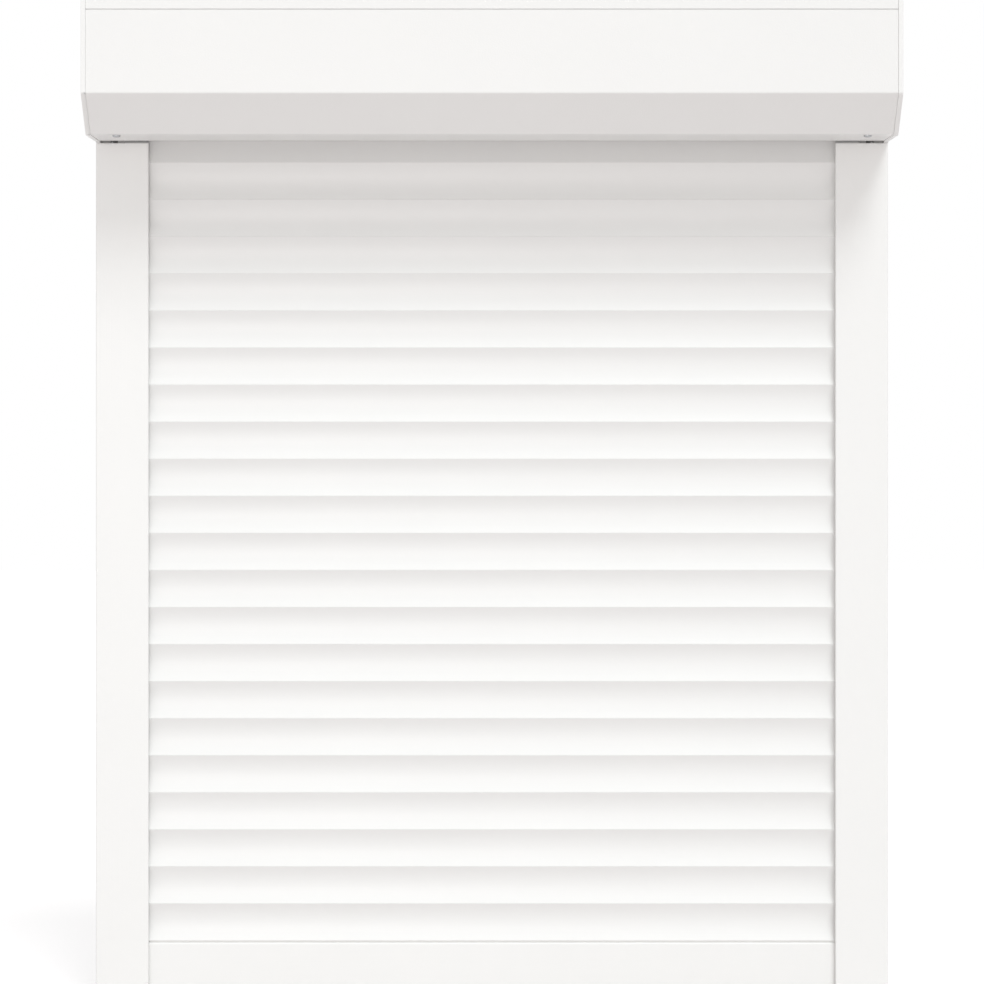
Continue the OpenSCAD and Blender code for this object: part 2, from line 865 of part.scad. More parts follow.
// Ring in the tube's end that runs on the motor's neck
module motor_crown() {
    color("dimgray") difference() {
        span(crown_x - crown_l, crown_x) octagon(plug_flats);
        axle(crown_x - crown_l - past, crown_x + past, neck_d + 2 * run);
    }
}

// Output shaft: round journal in the motor and a hexagon for the drive wheel
module motor_shaft() {
    color("silver") {
        axle(motor_x - axial_gap / 2, journal_x, journal_d);
        hexagon_bar(wheel_x - wheel_l, motor_x - axial_gap / 2, hex_d);
    }
}

module hexagon_bar(x0, x1, d) {
    span(x0, x1) translate([tube_u, tube_v]) circle(d = d, $fn = 6);
}

module drive_wheel() {
    color("dimgray") difference() {
        span(wheel_x - wheel_l, wheel_x) octagon(plug_flats);
        hexagon_bar(wheel_x - wheel_l - past, wheel_x + past, hex_d + 2 * run);
    }
}

// Plug with a flange in the tube's idle end
module idle_plug() {
    color("dimgray") difference() {
        union() {
            span(tube_left, tube_left + idle_l) octagon(plug_flats);
            span(tube_left - flange_t, tube_left) octagon(tube_flats);
        }
        axle(tube_left - flange_t - past, tube_left + idle_l + past, pin_d + 2 * run);
    }
}

module idle_pin() {
    color("silver") axle(bearing_x + slip, tube_left + idle_l, pin_d);
}

// Spring-steel straps from the tube's slots to the hook of the uppermost slat
module suspension_straps() {
    tab_u = strap_u + tube_wall + 3 * strap_t;
    path = [
        [tab_u, strap_tab_v],
        [strap_u, strap_tab_v],
        [strap_u, strap_bend_v],
        [hook_u, clip_v + strap_r + clip_r],
        [hook_u, clip_v + head_r + slip]
    ];
    color("silver")
        for (i = [-1:1])
            span(i * strap_step - strap_w / 2, i * strap_step + strap_w / 2) {
                bent_strip([path[0], path[1], path[2]], strap_t, strap_t);
                bent_strip([(path[1] + path[2]) / 2, path[2], path[3], path[4]], strap_r, strap_t);
                difference() {
                    translate([hook_u, clip_v]) circle(clip_r);
                    translate([hook_u, clip_v]) circle(head_r + slip);
                    translate([hook_u - neck_t / 2 - slip, clip_v - 2 * clip_r])
                        square([neck_t + 2 * slip, 2 * clip_r]);
                }
            }
}

// Neck and round head on a top edge at height 0, shared by the slats and the bottom bar
module hook_profile() {
    translate([hook_u - neck_t / 2, -slat_wall / 2]) square([neck_t, hook_rise + slat_wall / 2]);
    translate([hook_u, hook_rise]) circle(head_r);
}

// Part of the ring between two radii, from one height to another
module slat_band(r0, r1, v0, v1) {
    intersection() {
        translate([face_u, slat_h / 2]) difference() {
            circle(r1);
            circle(r0);
        }
        translate([face_u - r1 - past, v0]) square([r1 + past, v1 - v0]);
    }
}

// What the rounded lower edge of the outer face takes away
module ridge_waste() {
    middle = [face_u, slat_h / 2];
    centre = [arc_u(face_r + ridge_r, ridge_r), ridge_r];
    touch = middle + (centre - middle) * face_r / (face_r + ridge_r);
    difference() {
        polygon([centre, [centre.x, -past], [ridge_u + past, -past], [ridge_u + past, touch.y], touch]);
        translate(centre) circle(ridge_r);
    }
}

// Hollow slat: outer face curved inwards, a pocket for the hook below, two chambers and a hook on top
module slat_profile() {
    inner_r0 = face_r + slat_wall;
    inner_r1 = back_r - slat_wall;
    difference() {
        slat_band(face_r, back_r, 0, slat_h);
        slat_band(inner_r0, inner_r1, pocket_lip, pocket_h);
        slat_band(inner_r0, inner_r1, pocket_h + slat_wall, chamber_v);
        slat_band(inner_r0, inner_r1, chamber_v + slat_wall, slat_h - slat_wall);
        translate([hook_u - mouth_w / 2, -past]) square([mouth_w, pocket_lip + 2 * past]);
        ridge_waste();
        translate([0, slat_h]) mirror([0, 1]) ridge_waste();
    }
    translate([0, slat_h]) hook_profile();
}

// One slat, counted from the top
module slat(i) {
    color("white") span(-slat_l / 2, slat_l / 2)
        translate([0, -curtain_drop - (i - 1) * slat_pitch]) slat_profile();
}

// Bottom bar: flat hollow section with two chambers, a land with a hook on top and a seal groove below
module bottom_bar() {
    inner_w = bar_t - 2 * bar_wall;
    anchor_play = bar_anchor_w + 2 * slip;
    mouth = bar_stem_w + 2 * slip;
    floor_v = bar_foot + bar_groove_h + bar_wall;
    land_v = curtain_foot - joint_gap;
    root_v = bar_top - bar_wall / 2;
    color("white") {
        span(-bar_l / 2, bar_l / 2) difference() {
            rounded_box([bar_back_u, bar_foot], [bar_t, bar_h], bar_r);
            translate([bar_mid_u - inner_w / 2, floor_v]) square([inner_w, bar_mid_v - floor_v]);
            translate([bar_mid_u - inner_w / 2, bar_mid_v + bar_wall])
                square([inner_w, bar_top - bar_mid_v - 2 * bar_wall]);
            translate([bar_mid_u - anchor_play / 2, bar_foot + bar_wall])
                square([anchor_play, bar_anchor_t + 2 * slip]);
            translate([bar_mid_u - mouth / 2, bar_foot - past]) square([mouth, bar_wall + 2 * past]);
        }
        span(-bar_l / 2, bar_l / 2)
            translate([hook_u - bar_land / 2, root_v]) square([bar_land, land_v - root_v]);
        span(-bar_l / 2, bar_l / 2) translate([0, land_v]) hook_profile();
    }
}

// Rubber seal with an anchor in the bar's groove and a hollow bulb that meets the sill
module bottom_seal() {
    color("dimgray") span(-bar_l / 2, bar_l / 2) difference() {
        union() {
            translate([bar_mid_u - bar_anchor_w / 2, bar_foot + bar_wall + slip])
                square([bar_anchor_w, bar_anchor_t]);
            translate([bar_mid_u - bar_stem_w / 2, bulb_v])
                square([bar_stem_w, bar_foot + bar_wall + 2 * slip - bulb_v]);
            translate([bar_mid_u, bulb_v]) circle(bulb_r);
        }
        translate([bar_mid_u, bulb_v]) circle(bulb_r - bulb_wall);
    }
}

// Plugs in the bar's ends, with a peg in its upper chamber
module bar_end_plugs() {
    peg_w = bar_t - 2 * bar_wall - 2 * slip;
    peg_h = bar_top - bar_mid_v - 2 * bar_wall - 2 * slip;
    color("gray")
        for (side = [0, 1])
            mirror([side, 0, 0]) {
                span(bar_l / 2, bar_l / 2 + plug_t)
                    rounded_box([bar_back_u, bar_foot], [bar_t, bar_h], bar_r);
                span(bar_l / 2 - plug_leg, bar_l / 2 + plug_t / 2)
                    translate([bar_mid_u - peg_w / 2, bar_mid_v + bar_wall + slip]) square([peg_w, peg_h]);
            }
}

rear_shell();
front_cover();
end_cap_left();
end_cap_right();
shell_rivets();
cover_screws();
guide_rail_left();
guide_rail_right();
entry_funnel_left();
entry_funnel_right();
rail_seal_left_front();
rail_seal_left_rear();
rail_seal_right_front();
rail_seal_right_rear();
rail_foot_left();
rail_foot_right();
cable_grommet();
motor_bracket();
bracket_screws();
motor_head();
motor_body();
bearing_holder();
holder_screws();
bearing_outer_ring();
bearing_cage();
bearing_balls();
winding_tube();
motor_crown();
motor_shaft();
drive_wheel();
idle_plug();
idle_pin();
bearing_inner_ring();
suspension_straps();
bottom_bar();
bottom_seal();
bar_end_plugs();
for (i = [1:slat_count])
    slat(i);
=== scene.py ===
"""Exterior roller shutter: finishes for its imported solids, detailed small pieces and a studio"""
import math

import bmesh
import bpy
from bpy.props import FloatProperty, FloatVectorProperty, IntProperty, PointerProperty
from mathutils import Matrix, Vector


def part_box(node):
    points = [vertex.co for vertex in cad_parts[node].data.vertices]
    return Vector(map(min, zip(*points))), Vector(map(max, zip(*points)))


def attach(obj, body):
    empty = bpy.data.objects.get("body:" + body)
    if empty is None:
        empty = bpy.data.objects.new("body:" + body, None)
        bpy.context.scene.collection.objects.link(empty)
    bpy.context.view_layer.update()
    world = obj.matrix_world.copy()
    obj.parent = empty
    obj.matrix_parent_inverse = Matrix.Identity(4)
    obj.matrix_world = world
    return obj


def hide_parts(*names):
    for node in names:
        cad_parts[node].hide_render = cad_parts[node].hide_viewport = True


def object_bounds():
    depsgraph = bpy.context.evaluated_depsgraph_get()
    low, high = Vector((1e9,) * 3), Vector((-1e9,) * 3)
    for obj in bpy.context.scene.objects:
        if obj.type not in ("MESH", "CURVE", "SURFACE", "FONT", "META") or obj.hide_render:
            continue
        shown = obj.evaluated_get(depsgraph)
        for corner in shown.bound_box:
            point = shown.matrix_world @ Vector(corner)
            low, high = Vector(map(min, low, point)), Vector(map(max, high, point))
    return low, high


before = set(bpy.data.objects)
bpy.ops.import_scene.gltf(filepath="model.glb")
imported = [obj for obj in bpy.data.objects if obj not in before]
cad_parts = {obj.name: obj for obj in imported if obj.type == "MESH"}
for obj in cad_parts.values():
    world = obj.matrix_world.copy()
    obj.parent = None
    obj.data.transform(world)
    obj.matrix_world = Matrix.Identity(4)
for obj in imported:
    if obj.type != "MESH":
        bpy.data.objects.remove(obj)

bl_info = {
    "name": "Exterior roller shutter",
    "version": (1, 0, 0),
    "blender": (4, 5, 0),
    "location": "View3D > Sidebar > Shutter",
    "description": "Coats, seals and small pieces of a roller shutter, and the studio that it is shown in",
    "category": "Object",
}

CAD_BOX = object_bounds()
MM = 0.001
QUARTER_TURN = math.radians(90)
SLATS = sorted(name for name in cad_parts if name.startswith("slat_"))
SIDES = {"left": -1, "right": 1}


class FinishSettings(bpy.types.PropertyGroup):
    """Colours and surface finish of the shutter's materials"""

    coat_white: FloatVectorProperty(
        name="Coat", description="White coat of the end caps, the rails and the bottom bar",
        subtype="COLOR", size=3, min=0, max=1, default=(0.883, 0.885, 0.87))
    # The sheets' white is the coat made a little darker: painted shade that tones the box down against the
    # rails
    sheet_white_and_shade: FloatVectorProperty(
        name="Sheets", description="White coat of the box's two sheets, set darker as painted shade",
        subtype="COLOR", size=3, min=0, max=1, default=(0.872, 0.873, 0.859))
    slat_white: FloatVectorProperty(
        name="Slats", description="White plastic of the slats",
        subtype="COLOR", size=3, min=0, max=1, default=(0.868, 0.87, 0.857))
    plastic_grey: FloatVectorProperty(
        name="Grey plastic", description="Funnels, foot plugs and end plugs",
        subtype="COLOR", size=3, min=0, max=1, default=(0.42, 0.42, 0.42))
    plastic_dark: FloatVectorProperty(
        name="Dark plastic", description="Motor head, crown, wheel and idle plug",
        subtype="COLOR", size=3, min=0, max=1, default=(0.035, 0.035, 0.038))
    rubber_black: FloatVectorProperty(
        name="Rubber", description="Seals and grommet",
        subtype="COLOR", size=3, min=0, max=1, default=(0.03, 0.03, 0.03))
    coat_roughness: FloatProperty(
        name="Coat roughness", description="Roughness of the white coat",
        subtype="FACTOR", min=0, max=1, default=0.42)
    slat_roughness: FloatProperty(
        name="Slat roughness", description="Roughness of the slats",
        subtype="FACTOR", min=0, max=1, default=0.4)


class DetailSettings(bpy.types.PropertyGroup):
    """Sizes of the small pieces and rounded edges"""

    cap_edge: FloatProperty(
        name="End cap edge", description="Rounding of an end cap's outer edge",
        subtype="DISTANCE", unit="LENGTH", min=0.0002, max=0.002, default=0.0008)
    shank_width: FloatProperty(
        name="Shank width", description="Thickness of a screw's shank",
        subtype="DISTANCE", unit="LENGTH", min=0.002, max=0.005, default=0.0035)
    recess_width: FloatProperty(
        name="Recess width", description="Length of a screw's cross recess",
        subtype="DISTANCE", unit="LENGTH", min=0.002, max=0.006, default=0.0042)
    recess_depth: FloatProperty(
        name="Recess depth", description="Depth of a screw's cross recess",
        subtype="DISTANCE", unit="LENGTH", min=0.0005, max=0.002, default=0.0013)
    round_steps: IntProperty(
        name="Round steps", description="Sides of a screw head or rivet",
        min=16, max=64, default=32)


class StudioSettings(bpy.types.PropertyGroup):
    """Camera, lamps and surroundings"""

    camera_distance: FloatProperty(
        name="Camera distance", description="From the camera to the box's front",
        subtype="DISTANCE", unit="LENGTH", min=1, max=10, default=3.0)
    camera_height: FloatProperty(
        name="Camera height", description="Height of the camera above the middle of the box",
        subtype="DISTANCE", unit="LENGTH", min=-2, max=2, default=-0.3334)
    lens: FloatProperty(
        name="Lens", description="Focal length on a 36 mm sensor",
        subtype="DISTANCE_CAMERA", min=20, max=300, default=112.9)
    shift_y: FloatProperty(
        name="Shift", description="Vertical shift that frames the box at the top",
        min=-0.2, max=0.2, default=-0.09)
    key_strength: FloatProperty(
        name="Key lamp", description="Strength of the far lamp at the upper right, in watts per square metre",
        min=0, max=10, default=1.25)
    key_angle: FloatProperty(
        name="Key softness", description="How wide the far lamp looks from the shutter",
        subtype="ANGLE", unit="ROTATION", min=0, max=1, default=0.38)
    fill_power: FloatProperty(
        name="Fill lamp", description="Power of the round lamp behind the camera",
        subtype="POWER", unit="POWER", min=0, max=1000, default=25.5)
    sky: FloatProperty(
        name="Sky", description="Strength of the even light from all round",
        min=0, max=2, default=0.712)
    floor_colour: FloatVectorProperty(
        name="Floor", description="Colour of the floor",
        subtype="COLOR", size=3, min=0, max=1, default=(0.65, 0.61, 0.61))


def rgba(colour):
    """A colour with full cover"""
    return (colour[0], colour[1], colour[2], 1.0)


def placed(name, data):
    """A new object of the scene"""
    made = bpy.data.objects.new(name, data)
    bpy.context.scene.collection.objects.link(made)
    return made


# Shader groups that several finishes share

GROUP_INPUTS = [
    ("Colour", "NodeSocketColor", (0.8, 0.8, 0.8, 1.0)),
    ("Tone Swing", "NodeSocketFloat", 0.02),
    ("Roughness", "NodeSocketFloat", 0.4),
    ("Gloss Swing", "NodeSocketFloat", 0.08),
]
GROUP_OUTPUTS = [
    ("Colour", "NodeSocketColor"),
    ("Roughness", "NodeSocketFloat"),
    ("Height", "NodeSocketFloat"),
]
GRAIN_PATCHES = 7.0
DRAWN_PATCHES = 9.0
FINE_ROUGHNESS = 0.6


def new_group(name, *pattern):
    """A group with the shared sockets and one for its own pattern, and its two ends"""
    group = bpy.data.node_groups.new(name, "ShaderNodeTree")
    for label, kind, default in GROUP_INPUTS + [pattern]:
        socket = group.interface.new_socket(label, in_out="INPUT", socket_type=kind)
        socket.default_value = default
    for label, kind in GROUP_OUTPUTS:
        group.interface.new_socket(label, in_out="OUTPUT", socket_type=kind)
    start = group.nodes.new("NodeGroupInput")
    end = group.nodes.new("NodeGroupOutput")
    return group, start.outputs, end.inputs


def feed(tree, socket, value):
    """Links a socket to another, or sets it to a number"""
    if isinstance(value, bpy.types.NodeSocket):
        tree.links.new(value, socket)
    else:
        socket.default_value = value


def noise(tree, vector, scale, detail=2.0, rough=0.5):
    """Soft noise from 0 to 1"""
    node = tree.nodes.new("ShaderNodeTexNoise")
    node.inputs["Detail"].default_value = detail
    node.inputs["Roughness"].default_value = rough
    feed(tree, node.inputs["Vector"], vector)
    feed(tree, node.inputs["Scale"], scale)
    return node.outputs["Fac"]


def math_node(tree, operation, *values):
    """The result of one operation on sockets or numbers"""
    node = tree.nodes.new("ShaderNodeMath")
    node.operation = operation
    for socket, value in zip(node.inputs, values):
        feed(tree, socket, value)
    return node.outputs[0]


def around(tree, middle, swing, mask):
    """The middle plus or minus half of the swing, by a mask from 0 to 1"""
    offset = math_node(tree, "MULTIPLY", math_node(tree, "SUBTRACT", mask, 0.5), swing)
    return math_node(tree, "ADD", middle, offset)


def shade(tree, colour, value):
    """A colour times a value"""
    node = tree.nodes.new("ShaderNodeVectorMath")
    node.operation = "SCALE"
    tree.links.new(colour, node.inputs[0])
    tree.links.new(value, node.inputs["Scale"])
    return node.outputs[0]


def close_group(group, start, end, tone_mask, gloss_mask, height):
    """Swings a group's tone and gloss by two masks, and passes its height on"""
    tone = around(group, 1.0, start["Tone Swing"], tone_mask)
    gloss = around(group, start["Roughness"], start["Gloss Swing"], gloss_mask)
    group.links.new(shade(group, start["Colour"], tone), end["Colour"])
    group.links.new(gloss, end["Roughness"])
    group.links.new(height, end["Height"])


def grain_group():
    """Sprayed or moulded surface: broad unevenness of tone and gloss over a fine skin"""
    group, start, end = new_group("Surface grain", "Grain Scale", "NodeSocketFloat", 900.0)
    place = group.nodes.new("ShaderNodeTexCoord").outputs["Object"]
    broad = noise(group, place, GRAIN_PATCHES, detail=3.0)
    fine = noise(group, place, start["Grain Scale"], rough=FINE_ROUGHNESS)
    close_group(group, start, end, broad, broad, fine)
    return group


def drawn_group():
    """Extruded or rolled surface: faint lines that run along one direction"""
    group, start, end = new_group("Drawn lines", "Stretch", "NodeSocketVector", (1.0, 1.0, 1.0))
    place = group.nodes.new("ShaderNodeTexCoord").outputs["Object"]
    stretched = group.nodes.new("ShaderNodeVectorMath")
    stretched.operation = "MULTIPLY"
    group.links.new(place, stretched.inputs[0])
    group.links.new(start["Stretch"], stretched.inputs[1])
    lines = noise(group, stretched.outputs[0], 1.0, detail=3.0, rough=FINE_ROUGHNESS)
    broad = noise(group, place, DRAWN_PATCHES)
    close_group(group, start, end, broad, lines, lines)
    return group


def spangle_group():
    """Galvanised sheet: zinc flowers of differing tone"""
    group, start, end = new_group("Zinc flowers", "Flower Scale", "NodeSocketFloat", 140.0)
    place = group.nodes.new("ShaderNodeTexCoord").outputs["Object"]
    cells = group.nodes.new("ShaderNodeTexVoronoi")
    group.links.new(place, cells.inputs["Vector"])
    group.links.new(start["Flower Scale"], cells.inputs["Scale"])
    split = group.nodes.new("ShaderNodeSeparateColor")
    group.links.new(cells.outputs["Color"], split.inputs[0])
    close_group(group, start, end, split.outputs[0], split.outputs[1], cells.outputs["Distance"])
    return group


def surface(name, group, colour, roughness, tone=0.02, gloss=0.08, bump=0.05, reach=0.1 * MM,
            metallic=0.0, specular=0.5, **pattern):
    """A material whose colour, roughness and bump come from one of the shared groups"""
    material = bpy.data.materials.new(name)
    material.use_nodes = True
    tree = material.node_tree
    shader = tree.nodes["Principled BSDF"]
    shader.inputs["Metallic"].default_value = metallic
    shader.inputs["Specular IOR Level"].default_value = specular
    use = tree.nodes.new("ShaderNodeGroup")
    use.node_tree = group
    use.inputs["Colour"].default_value = rgba(colour)
    use.inputs["Tone Swing"].default_value = tone
    use.inputs["Roughness"].default_value = roughness
    use.inputs["Gloss Swing"].default_value = gloss
    for label, value in pattern.items():
        use.inputs[label.replace("_", " ").title()].default_value = value
    relief = tree.nodes.new("ShaderNodeBump")
    relief.inputs["Strength"].default_value = bump
    relief.inputs["Distance"].default_value = reach
    tree.links.new(use.outputs["Height"], relief.inputs["Height"])
    tree.links.new(use.outputs["Colour"], shader.inputs["Base Color"])
    tree.links.new(use.outputs["Roughness"], shader.inputs["Roughness"])
    tree.links.new(relief.outputs["Normal"], shader.inputs["Normal"])
    return material


# Metals, scales of drawn lines along the three axes, and the white coat's skin

ZINC = (0.42, 0.425, 0.435)
ALUMINIUM = (0.72, 0.72, 0.72)
GALVANISED = (0.58, 0.59, 0.6)
MOTOR_STEEL = (0.52, 0.53, 0.55)
BEARING_STEEL = (0.66, 0.67, 0.68)
BRASS = (0.72, 0.53, 0.22)
SPRING_STEEL = (0.28, 0.3, 0.34)
ALONG_X = (3.0, 900.0, 900.0)
ALONG_Z = (900.0, 900.0, 3.0)
ROUND_BEARING = (900.0, 40.0, 40.0)
ALONG_STRAPS = (900.0, 30.0, 30.0)
COAT_SKIN = 0.2 * MM
CAP_EXTRA_ROUGHNESS = 0.04


def make_finishes(finish):
    """All materials by the record's slot names"""
    grain, drawn, zinc = grain_group(), drawn_group(), spangle_group()
    cap_roughness = finish.coat_roughness + CAP_EXTRA_ROUGHNESS
    return {
        # The sheets get the coat's white made a little darker, as painted shade on the box
        "white_sheet": surface(
            "White coated sheet with painted shade", grain, finish.sheet_white_and_shade, finish.coat_roughness,
            bump=0.5, reach=COAT_SKIN, grain_scale=620),
        "white_cap": surface(
            "White coated casting", grain, finish.coat_white, cap_roughness,
            bump=0.6, reach=COAT_SKIN, grain_scale=520),
        "white_rail": surface(
            "White coated extrusion", drawn, finish.coat_white, finish.coat_roughness,
            bump=0.6, stretch=ALONG_Z),
        "white_bar": surface(
            "White coated bar", drawn, finish.coat_white, finish.coat_roughness,
            bump=0.6, stretch=ALONG_X),
        "white_slat": surface(
            "White slat plastic", drawn, finish.slat_white, finish.slat_roughness,
            bump=0.4, stretch=ALONG_X),
        "grey_plastic": surface(
            "Grey moulded plastic", grain, finish.plastic_grey, roughness=0.55, tone=0.06,
            bump=0.2, grain_scale=1400),
        "dark_plastic": surface(
            "Dark moulded plastic", grain, finish.plastic_dark, roughness=0.5, tone=0.1,
            bump=0.25, grain_scale=1300),
        "seal_rubber": surface(
            "Seal rubber", grain, finish.rubber_black, roughness=0.78, tone=0.12,
            bump=0.7, grain_scale=1800, specular=0.3),
        "zinc_steel": surface(
            "Zinc plated steel", grain, ZINC, roughness=0.34, tone=0.1, gloss=0.14,
            bump=0.05, metallic=1.0, grain_scale=1500),
        "rivet": surface(
            "Rivet aluminium", grain, ALUMINIUM, roughness=0.36, tone=0.06, gloss=0.1,
            bump=0.05, metallic=1.0, grain_scale=1500),
        "tube_steel": surface(
            "Galvanised tube", zinc, GALVANISED, roughness=0.42, tone=0.24, gloss=0.16,
            bump=0.02, metallic=1.0, flower_scale=120.0),
        "motor_steel": surface(
            "Motor tube steel", drawn, MOTOR_STEEL, roughness=0.33, tone=0.05, gloss=0.12,
            bump=0.03, metallic=1.0, stretch=ALONG_X),
        "bearing_steel": surface(
            "Ground bearing steel", drawn, BEARING_STEEL, roughness=0.16, tone=0.03, gloss=0.06,
            bump=0.01, metallic=1.0, stretch=ROUND_BEARING),
        "bearing_brass": surface(
            "Cage brass", grain, BRASS, roughness=0.3, tone=0.08, gloss=0.1,
            bump=0.04, metallic=1.0, grain_scale=1500),
        "spring_steel": surface(
            "Blued spring steel", drawn, SPRING_STEEL, roughness=0.36, tone=0.08, gloss=0.12,
            bump=0.03, metallic=1.0, stretch=ALONG_STRAPS),
    }


FINISHES = {}


def coat(slot, *nodes):
    """Gives CAD nodes one of the finishes"""
    for name in nodes:
        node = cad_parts[name]
        node.data.materials.clear()
        node.data.materials.append(FINISHES[slot])


class SHUTTER_OT_finishes(bpy.types.Operator):
    """Make the materials that all pieces share"""

    bl_idname = "shutter.finishes"
    bl_label = "Finishes"

    def execute(self, context):
        FINISHES.update(make_finishes(context.scene.shutter_finish))
        return {"FINISHED"}


# Pieces that stand for CAD nodes

MERGE = 0.02 * MM
SMOOTH_ANGLE = math.radians(32)
FLAT_ANGLE = math.radians(0.5)
CORNER_ANGLE = math.radians(60)
EDGE_SEGMENTS = 4


def merged_copy(node):
    """A bmesh of a CAD node with its loose triangles joined"""
    bm = bmesh.new()
    bm.from_mesh(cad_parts[node].data)
    bmesh.ops.remove_doubles(bm, verts=bm.verts, dist=MERGE)
    return bm


def piece(name, bm, slot, node):
    """Turns a bmesh into a piece that rides on the frame and stands for a CAD node"""
    if not bm.faces:
        raise RuntimeError("%s has no faces" % name)
    mesh = bpy.data.meshes.new(name)
    bm.to_mesh(mesh)
    bm.free()
    mesh.polygons.foreach_set("use_smooth", [True] * len(mesh.polygons))
    mesh.set_sharp_from_angle(angle=SMOOTH_ANGLE)
    mesh.materials.append(FINISHES[slot])
    made = placed(name, mesh)
    made.modifiers.new("flat_faces", "WEIGHTED_NORMAL").keep_sharp = True
    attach(made, "frame")
    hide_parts(node)


class SHUTTER_OT_head_box(bpy.types.Operator):
    """Coat the box's two sheets and give its end caps rounded outer edges"""

    bl_idname = "shutter.head_box"
    bl_label = "Head box"

    def execute(self, context):
        coat("white_sheet", "rear_shell", "front_cover")
        coat("seal_rubber", "cable_grommet")
        for side, sign in SIDES.items():
            self.end_cap(side, sign, context.scene.shutter_detail.cap_edge)
        return {"FINISHED"}

    def end_cap(self, side, sign, rounding):
        """Rounds an end cap's outer edge, but not the edge of the grommet's hole"""
        node = "end_cap_" + side
        low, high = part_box(node)
        outer = high.x if sign > 0 else low.x
        hole_low, hole_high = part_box("cable_grommet")
        hole = (hole_low + hole_high) / 2
        hole_reach = (hole_high.z - hole_low.z) / 2
        bm = merged_copy(node)
        bmesh.ops.dissolve_limit(bm, angle_limit=FLAT_ANGLE, verts=bm.verts, edges=bm.edges)

        def on_rim(edge):
            return (all(abs(v.co.x - outer) < MERGE for v in edge.verts)
                    and len(edge.link_faces) == 2
                    and edge.calc_face_angle(0) > CORNER_ANGLE
                    and all(math.hypot(v.co.y - hole.y, v.co.z - hole.z) > hole_reach for v in edge.verts))

        rim = [edge for edge in bm.edges if on_rim(edge)]
        if not rim:
            raise RuntimeError("%s has no outer edge to round" % node)
        bmesh.ops.bevel(
            bm, geom=rim, offset=rounding, offset_type="OFFSET", segments=EDGE_SEGMENTS,
            profile=0.5, affect="EDGES", clamp_overlap=True, material=-1)
        piece("end_cap_%s_rounded" % side, bm, "white_cap", node)


# Screws and rivets: directions, steps of a round, and shares of a radius, a height or a recess

SHANKS = {
    "cover_screws": Vector((0.0, 0.0, 1.0)),
    "bracket_screws": Vector((1.0, 0.0, 0.0)),
    "holder_screws": Vector((-1.0, 0.0, 0.0)),
}
UP = Vector((0.0, 0.0, 1.0))
ROUND_STEPS = 5
PAN_FLAT = 0.62
PAN_SIDE = 0.3
RECESS_ARM = 0.3
RECESS_FLOOR = 0.6
SHANK_TIP = 0.25
RIVET_RIM = 0.36
RIVET_HOLLOW = 0.28
RIVET_LIP = 0.9
RIVET_PIT = 0.25
RIVET_NECK = 0.5
RIVET_TAIL = 0.5


def solids(node):
    """The lowest and highest corner of each solid of a CAD node"""
    bm = merged_copy(node)
    left = set(bm.verts)
    corners = []
    while left:
        front = [left.pop()]
        found = list(front)
        while front:
            near = {e.other_vert(v) for v in front for e in v.link_edges} & left
            left -= near
            found += near
            front = list(near)
        places = [v.co for v in found]
        corners.append((Vector(map(min, zip(*places))), Vector(map(max, zip(*places)))))
    bm.free()
    return sorted(corners, key=lambda pair: tuple(pair[0]))


def first_ring(bm, radius, height, steps):
    """The edges of a circle about Z, the first shape of its bmesh"""
    place = Matrix.Translation((0.0, 0.0, height))
    bmesh.ops.create_circle(bm, cap_ends=False, segments=steps, radius=radius, matrix=place)
    return list(bm.edges)


def cross_ring(bm, reach, height):
    """The edges of a cross recess's outline"""
    arm = reach * RECESS_ARM
    corner = [(reach, arm), (arm, arm), (arm, reach)]
    verts = []
    for turn in range(4):
        spun = Matrix.Rotation(QUARTER_TURN * turn, 2)
        for place in corner:
            x, y = spun @ Vector(place)
            verts.append(bm.verts.new((x, y, height)))
    return [bm.edges.new((verts[i - 1], verts[i])) for i in range(len(verts))]


def ring_step(bm, edges, scale, lift):
    """Extrudes a ring of edges, scaled about Z and lifted along it, and returns the new ring"""
    made = bmesh.ops.extrude_edge_only(bm, edges=edges)["geom"]
    verts = [g for g in made if isinstance(g, bmesh.types.BMVert)]
    bmesh.ops.scale(bm, verts=verts, vec=(scale, scale, 1.0))
    bmesh.ops.translate(bm, verts=verts, vec=(0.0, 0.0, lift))
    return [g for g in made if isinstance(g, bmesh.types.BMEdge) and set(g.verts) <= set(verts)]


def turned(bm, edges, profile):
    """Carries a ring through a profile of radius and height, and closes its end"""
    radius, height = profile[0]
    for next_radius, next_height in profile[1:]:
        edges = ring_step(bm, edges, next_radius / radius, next_height - height)
        radius, height = next_radius, next_height
    bmesh.ops.edgeloop_fill(bm, edges=edges)


def rounded(inner, outer, top, foot):
    """Radius and height of a quarter round, from a flat top out and down to an upright side"""
    turns = [QUARTER_TURN * step / ROUND_STEPS for step in range(ROUND_STEPS + 1)]
    return [(inner + (outer - inner) * math.sin(t), foot + (top - foot) * math.cos(t)) for t in turns]


def in_order(bm):
    """Puts edges and faces in the order of their corners, because extruding leaves that to chance"""
    bm.verts.index_update()
    for parts in (bm.edges, bm.faces):
        for place, part in enumerate(sorted(parts, key=lambda p: sorted(v.index for v in p.verts))):
            part.index = place
        parts.sort()


def add_fastener(joined, bm, seat, up):
    """Sets a fastener on its seat, head up, and adds it to the joined bmesh"""
    turn = up.to_track_quat("Z", "Y").to_matrix().to_4x4()
    bmesh.ops.transform(bm, matrix=Matrix.Translation(seat) @ turn, verts=bm.verts)
    bmesh.ops.recalc_face_normals(bm, faces=bm.faces)
    in_order(bm)
    mesh = bpy.data.meshes.new("fastener")
    bm.to_mesh(mesh)
    bm.free()
    joined.from_mesh(mesh)
    bpy.data.meshes.remove(mesh)


